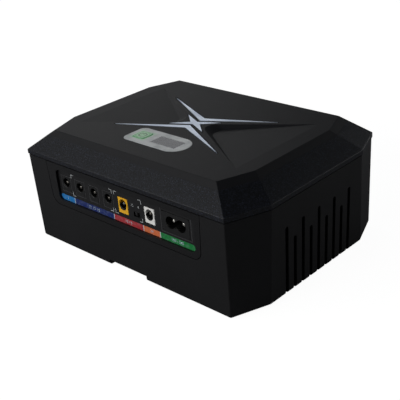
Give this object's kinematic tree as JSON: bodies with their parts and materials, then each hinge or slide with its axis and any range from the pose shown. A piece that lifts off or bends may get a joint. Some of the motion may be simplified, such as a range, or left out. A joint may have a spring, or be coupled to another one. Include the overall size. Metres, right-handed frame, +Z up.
{
  "type": "battery power box",
  "caption": "Box-shaped battery power supply with a sloped lid, lit power key, small display, round low-voltage sockets, a voltage slide switch and a mains inlet.",
  "frame": {"origin": "on the surface the rubber feet stand on, under the middle of the case", "axes": "+X along the side with the sockets, to the right as seen facing them; the sockets face -Y; +Z up"},
  "size_m": [0.205, 0.1504, 0.0838],
  "materials": {
    "shell_black": "fine spark-eroded texture, satin",
    "cover_black": "coarse sparkling texture, satin",
    "inlay_silver": "fine brushed silver",
    "panel_black": "smooth, dull",
    "label_print": "printed sheet with coloured bands, no text",
    "jack_black": "smooth moulded",
    "jack_yellow": "glossy yellow",
    "jack_white": "glossy white",
    "contact_metal": "nickel plated",
    "inlet_black": "moulded, satin",
    "lens_pale": "translucent smoked white, glossy",
    "key_green": "lit translucent green",
    "lcd_dark": "dark grey display glass",
    "light_guide": "milky light guide",
    "board_green": "solder-resist green",
    "black_component": "moulded component body",
    "screw_steel": "zinc plated steel",
    "foot_rubber": "soft matt rubber",
    "cell_blue": "shrink sleeve",
    "holder_black": "moulded holder",
    "nickel": "nickel strip",
    "heat_sink": "extruded, plain",
    "ferrite": "sintered, matt",
    "winding": "taped winding",
    "capacitor_sleeve": "sleeved can",
    "filter_yellow": "boxed film capacitor",
    "terminal_green": "moulded terminal",
    "fuse_glass": "clear tube",
    "lead_red_black": "insulated wire"
  },
  "bodies": {
    "case": {"ac_inlet": "inlet_black", "ac_inlet_pins": "contact_metal", "battery_cells": "cell_blue", "battery_leads": "lead_red_black", "bridge_rectifier": "black_component", "bulk_capacitor": "capacitor_sleeve", "case_screws": "screw_steel", "cell_holder_left": "holder_black", "cell_holder_right": "holder_black", "choke_core": "ferrite", "choke_winding": "winding", "display_board": "board_green", "display_leads": "lead_red_black", "display_lens": "lens_pale", "display_screws": "screw_steel", "filter_capacitor": "filter_yellow", "fuse": "fuse_glass", "fuse_clips": "contact_metal", "heat_sink_1": "heat_sink", "heat_sink_2": "heat_sink", "inlay_back": "inlay_silver", "inlay_front": "inlay_silver", "inlay_star": "inlay_silver", "jack_body_1": "jack_black", "jack_body_2": "jack_black", "jack_body_3": "jack_black", "jack_body_4": "jack_black", "jack_body_5": "jack_yellow", "jack_body_6": "jack_white", "jack_contacts": "contact_metal", "jack_pins": "contact_metal", "key_lamps": "light_guide", "key_switch": "black_component", "lcd_backlight": "light_guide", "lcd_glass": "lcd_dark", "lower_shell": "shell_black", "mains_leads": "lead_red_black", "mains_terminal": "terminal_green", "nickel_strips": "nickel", "output_board": "board_green", "output_board_screws": "screw_steel", "output_capacitors": "capacitor_sleeve", "output_leads": "lead_red_black", "output_terminal": "terminal_green", "port_label": "label_print", "port_panel": "panel_black", "power_board": "board_green", "power_board_screws": "screw_steel", "power_transistors": "black_component", "protection_board": "board_green", "rubber_feet": "foot_rubber", "slide_switch_base": "black_component", "slide_switch_case": "contact_metal", "transformer_core": "ferrite", "transformer_winding": "winding", "upper_cover": "cover_black"},
    "key": {"power_key": "key_green", "key_plunger": "black_component"},
    "slide_knob": {"slide_switch_knob": "jack_black"}
  },
  "joints": [
    {"name": "key_press", "type": "slide", "parent": "case", "child": "key", "axis": [0, 0, -1], "range_m": [0, 0.0005], "stiffness_N_per_m": 1500, "springref_m": -0.0003},
    {"name": "voltage_slide", "type": "slide", "parent": "case", "child": "slide_knob", "axis": [1, 0, 0], "range_m": [0, 0.002]}
  ]
}
